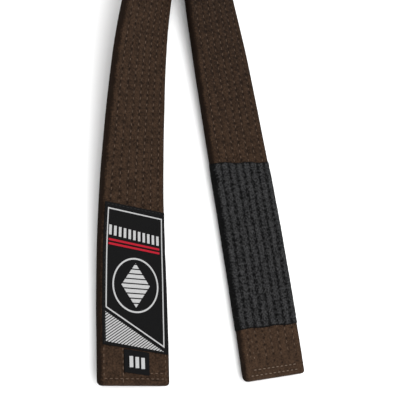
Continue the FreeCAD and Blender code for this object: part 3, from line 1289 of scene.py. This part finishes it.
# ------------------------------------------------------------------ the rank bar
@dataclass
class RankBar:
    """The black sleeve round the bar end, quilted through in coarse ribs."""

    half: StrapHalf
    finishes: Finishes
    start: float = 26.5 * mm
    length: float = 89.5 * mm
    hem: float = 3.6 * mm
    ease: float = 0.2 * mm
    edge: float = 2.4 * mm
    lining: float = 2.5 * mm
    plain: float = 2.95 * mm
    fullest: float = 3.22 * mm
    seam_depth: float = 0.25 * mm
    seam_width: float = 0.6 * mm
    quilting: Quilting = Quilting(crest=3.05 * mm, valley=2.6 * mm, fullness=0.8, pucker=0.7 * mm,
                                  pucker_length=3.4 * mm, lump=0.35)

    def shape(self, across: np.ndarray, share: np.ndarray, along: np.ndarray) -> np.ndarray:
        """Shape the sleeve, flat: its rings run up the outside and back down the lining.

        Args:
            across: Places across.
            share: Shares of the thickness, from -1 to 1.
            along: Distances from the tip.

        Returns:
            The flat points, one row each.
        """
        outside = along < self.start + self.length + 1e-6
        fold = self.start + self.length
        s = np.where(outside, along, 2 * fold - along)
        from_end = np.minimum(s - self.start, fold - s)
        quilted = self.quilting.height(across, s)
        share_hem = np.clip((from_end - self.hem) / (1.2 * mm), 0, 1)
        thick = self.plain + (quilted - self.plain) * share_hem
        thick = self.lining + (thick - self.lining) * rounded_end(from_end, 0.7 * mm)
        thick = thick - self.seam_depth * np.exp(-((from_end - self.hem) / self.seam_width) ** 2)
        thinnest = self.lining + 0.1 * mm * np.clip(from_end / mm, 0, 1)
        thick = np.clip(thick, thinnest, self.fullest)
        thick = np.where(outside, thick, self.lining)
        half_width = self.half.sizes.half_width + self.ease
        joined = along > fold + self.length - 1e-6
        inner = np.where(outside | joined, 1.0, (half_width - self.ease) / half_width)
        wave = 0.25 * mm * np.sin(across / (2.6 * mm)) * np.clip(1 - from_end / (4 * mm), 0, 1)
        return np.stack([across * inner, s + wave, share * thick], 1)

    def build(self) -> None:
        """Make the sleeve and its threads."""
        end = self.start + self.length
        rim = 1.2 * mm
        stations = steps(
            (self.start, self.start + rim, 0.2 * mm), (self.start + rim, end - rim, 0.75 * mm),
            (end - rim, end, 0.2 * mm), (end, end + self.length, 5 * mm),
        )
        half_width = self.half.sizes.half_width + self.ease
        section = Section(half_width, self.edge, face_columns=64, edge_columns=10)
        bm = soft_band(section, stations, self.shape)
        self.half.wrap(bm)
        piece = to_object("rank_bar_cloth", bm, self.finishes.black_cloth)
        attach(piece, self.half.body)
        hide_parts("rank_bar_sleeve")
        self.threads()

    def threads(self) -> None:
        """Sew the ribs and the two hems."""
        stitch = Stitch(length=2.0 * mm, radius=0.2 * mm, pitch=3.2 * mm)
        rows = RowThreads(self.half, depth=2.62 * mm)
        low, high = self.start + self.hem, self.start + self.length - self.hem
        ribs = rows.build("rank_bar_row_stitches", low, high, stitch, self.finishes.black_thread)
        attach(ribs, self.half.body)
        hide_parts("rank_bar_quilting")
        hems = Sewing()
        reach = 17 * mm
        row = stitch.row(int(2 * reach / stitch.pitch) + 1, across=True)
        for along in (low, high):
            for face in Face:
                hems.sew(row, Matrix.Translation((-reach, along, face.value * 2.72 * mm)))
        piece = hems.on(self.half, "rank_bar_hem_stitches", self.finishes.black_thread)
        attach(piece, self.half.body)
        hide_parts("rank_bar_hem_seams")


# ------------------------------------------------------------------ the studio
@dataclass
class Studio:
    """Floor, lights and camera."""

    finishes: Finishes
    camera_at: tuple[float, float, float] = (-0.2147, -0.2908, 0.3669)
    camera_right: tuple[float, float, float] = (0.8497, 0.0, 0.5272)
    camera_up: tuple[float, float, float] = (-0.1512, 0.958, 0.2438)
    lens: float = 76.5
    floor_size: float = 6.0

    def floor(self) -> None:
        """Lay the floor under the belt."""
        bm = bmesh.new()
        bmesh.ops.create_grid(bm, x_segments=8, y_segments=8, size=self.floor_size / 2)
        bmesh.ops.translate(bm, verts=bm.verts[:], vec=(0, 0, -0.2 * mm))
        to_object("floor", bm, self.finishes.floor)

    def light(self, name: str, at: tuple[float, float, float], size: float, power: float) -> None:
        """Hang a square soft light that faces the belt.

        Args:
            name: Its name.
            at: Where it hangs.
            size: Its side.
            power: Its power, in watts.
        """
        lamp = bpy.data.lights.new(name, "AREA")
        lamp.size = size
        lamp.energy = power
        holder = bpy.data.objects.new(name, lamp)
        holder.location = at
        holder.rotation_mode = "QUATERNION"
        holder.rotation_quaternion = (Vector(at) - Vector((0.0, -0.1, 0.0))).to_track_quat("Z", "Y")
        bpy.context.scene.collection.objects.link(holder)

    def camera(self) -> None:
        """Set up the camera."""
        eye = bpy.data.cameras.new("camera")
        eye.lens = self.lens
        eye.sensor_width = 36.0
        eye.clip_start = 0.01
        holder = bpy.data.objects.new("camera", eye)
        right, up = Vector(self.camera_right), Vector(self.camera_up)
        turn = Matrix((right, up, right.cross(up))).transposed().to_4x4()
        holder.matrix_world = Matrix.Translation(self.camera_at) @ turn
        bpy.context.scene.collection.objects.link(holder)
        bpy.context.scene.camera = holder

    def build(self) -> None:
        """Build the studio."""
        self.floor()
        self.light("key_light", (0.25, -0.75, 1.6), 2.4, 20.0)
        self.light("fill_light", (-0.6, 0.7, 1.6), 2.0, 8.0)
        world = bpy.data.worlds.new("white_room")
        world.use_nodes = True
        world.node_tree.nodes["Background"].inputs[0].default_value = (1.0, 1.0, 1.0, 1.0)
        world.node_tree.nodes["Background"].inputs[1].default_value = 1.2
        bpy.context.scene.world = world
        bpy.context.scene.view_settings.view_transform = "Standard"
        self.camera()


# ------------------------------------------------------------------ the belt
def strap_halves(sizes: StrapSizes) -> tuple[StrapHalf, StrapHalf]:
    """Lay out the two halves of the strap.

    Args:
        sizes: The strap's sizes.

    Returns:
        The half with the label and the half with the rank bar.
    """
    label_x, bar_x = 40.2, 46.2
    label_points = (
        (0.0, -26.2, -260.0, 6.2, 0.0), (45.0, -28.3, -215.1, 6.2, 0.0), (90.0, -30.4, -170.1, 12.1, 0.0),
        (140.0, -30.2, -120.2, 19.1, 0.0), (190.0, -27.4, -70.3, 28.3, 0.0),
        (240.0, -18.8, -21.1, 41.9, 0.0), (290.0, -3.8, 26.3, 56.2, 0.0),
        (340.0, 16.8, 71.8, 70.3, 0.0), (390.0, 33.9, 118.9, 82.0, 0.0),
        (430.0, label_x, 158.4, 90.0, 0.0),
    )
    bar_points = (
        (0.0, 56.6, -252.4, 0.9, 1.0), (45.0, 49.0, -208.0, 1.4, 1.0), (90.0, 40.9, -163.7, 1.9, 1.0),
        (140.0, 30.8, -114.7, 4.5, 0.7), (190.0, 20.4, -65.8, 9.6, 0.15), (240.0, 10.4, -16.9, 22.5, 0.0),
        (290.0, 16.0, 32.8, 42.3, 0.0), (340.0, 31.9, 80.1, 63.1, 0.0), (385.0, 42.2, 123.7, 80.6, 0.0),
        (422.0, bar_x, 160.4, 90.0, 0.0),
    )
    label = StrapHalf("label_end", sizes, label_points, sizes.half_turns - 1, (0.0402, 0.1762, 0.02), 0.010)
    bar = StrapHalf("bar_end", sizes, bar_points, sizes.half_turns, (0.0462, 0.1757, 0.02), 0.012)
    return label, bar


def build_straps(label: StrapHalf, bar: StrapHalf, finishes: Finishes) -> None:
    """Cover and sew both halves.

    Args:
        label: The half with the label.
        bar: The half with the rank bar.
        finishes: The materials.
    """
    layers = ("padding_a_", "canvas_core_", "padding_b_")
    rolled = tuple(layer + "roll" for layer in layers) + ("cover_roll",)
    label_tip = Tip(
        2.6 * mm, 1.6 * mm, (3.2 * mm,), crease_across=-7.5 * mm, crease_end=18 * mm, plain_end=16 * mm
    )
    bar_tip = Tip(3.0 * mm, 1.5 * mm, (2.6 * mm, 5.4 * mm))
    solids = {
        half.body: ("cover_" + half.body, *(layer + half.body for layer in layers))
        for half in (label, bar)
    }
    StrapCover(label, finishes.label_end_cloth, label_tip, solids["label_end"]).build()
    StrapCover(bar, finishes.bar_end_cloth, bar_tip, solids["bar_end"] + rolled).build()
    StrapThreads(label, finishes, 20 * mm).build()
    StrapThreads(bar, finishes, 8 * mm).build()
    TipSeams(
        bar, finishes.pale_thread,
        ((2.6 * mm, -15.6 * mm, 15.4 * mm), (5.4 * mm, -13.3 * mm, 14.0 * mm)),
        ((-17.0 * mm, 9 * mm, 25 * mm), (-12.9 * mm, 7 * mm, 25 * mm)),
    ).build()
    TipSeams(
        label, finishes.brown_thread,
        ((3.2 * mm, -16.9 * mm, 15.9 * mm), (5.8 * mm, 8.6 * mm, 16.6 * mm)),
        ((-17.8 * mm, 3.6 * mm, 16 * mm), (-7.4 * mm, 0.9 * mm, 16 * mm), (16.9 * mm, 1.4 * mm, 14 * mm)),
    ).build()


def main() -> None:
    """Build the belt and its studio."""
    logging.basicConfig(level=logging.INFO, format="%(message)s")
    finishes = Finishes()
    studio = Studio(finishes)
    studio.build()
    label, bar = strap_halves(StrapSizes.from_frame())
    build_straps(label, bar, finishes)
    WovenLabel(label, finishes).build()
    RankBar(bar, finishes).build()


if __name__ == "__main__":
    main()
